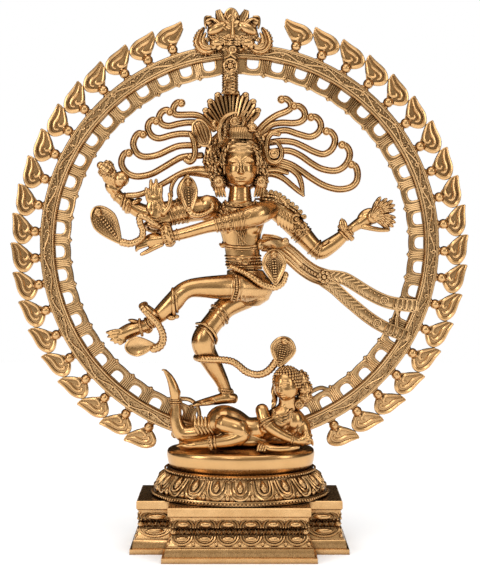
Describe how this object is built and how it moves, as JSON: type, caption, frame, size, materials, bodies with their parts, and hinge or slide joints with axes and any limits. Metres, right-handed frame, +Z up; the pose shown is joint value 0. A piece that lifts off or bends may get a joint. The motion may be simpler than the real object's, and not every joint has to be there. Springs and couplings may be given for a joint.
{
  "type": "nataraja statue",
  "caption": "Four-armed dancing figure in brass on one leg over a small demon, inside an open ring of flames on a lotus and stepped plinth.",
  "frame": {"origin": "centre of the plinth's underside, on the surface that the statue stands on", "axes": "+Z up, -Y towards the viewer that the statue faces, +X to that viewer's right"},
  "size_m": [0.433, 0.136, 0.5095],
  "materials": {
    "polished_brass": "hand polished limbs, face and oval slab",
    "cast_brass": "chased and lightly polished ornament with dark recesses",
    "engraved_brass": "engraved satin ring with dark ground",
    "steel": "plain rod, washer, nut and screws hidden in the base"
  },
  "bodies": {
    "root": {"base_plinth": "cast_brass", "lotus_pedestal": "cast_brass", "pedestal_slab": "polished_brass", "tie_rod": "steel", "tie_washer": "steel", "tie_nut": "steel", "arch_screw_left": "steel", "arch_screw_right": "steel", "arch_band": "engraved_brass", "arch_lattice": "engraved_brass", "flame_border_left": "cast_brass", "flame_border_right": "cast_brass", "plume_column": "cast_brass", "kirtimukha_mask": "cast_brass", "mask_scroll_left": "cast_brass", "mask_scroll_right": "cast_brass", "torso": "polished_brass", "hip_cloth": "cast_brass", "head": "polished_brass", "demon_body": "polished_brass", "demon_head": "polished_brass", "demon_arm": "polished_brass", "demon_rear_arm": "polished_brass", "demon_folded_leg": "polished_brass", "demon_raised_leg": "polished_brass", "standing_leg": "polished_brass", "raised_leg": "polished_brass", "front_left_arm": "polished_brass", "front_right_arm": "polished_brass", "rear_right_arm": "polished_brass", "rear_left_arm": "polished_brass", "headdress": "cast_brass", "crown_ornament": "cast_brass", "feather_plume": "cast_brass", "hair_locks_left": "cast_brass", "hair_locks_right": "cast_brass", "hair_leaf": "cast_brass", "crown_figurine": "cast_brass", "hand_drum": "cast_brass", "hand_fire": "cast_brass", "shoulder_fringe": "cast_brass", "wrist_cobra": "cast_brass", "shoulder_cobra": "cast_brass", "waist_cobra": "cast_brass", "shin_cobra": "cast_brass", "leg_cobra": "cast_brass", "sash": "cast_brass"}
  },
  "joints": []
}
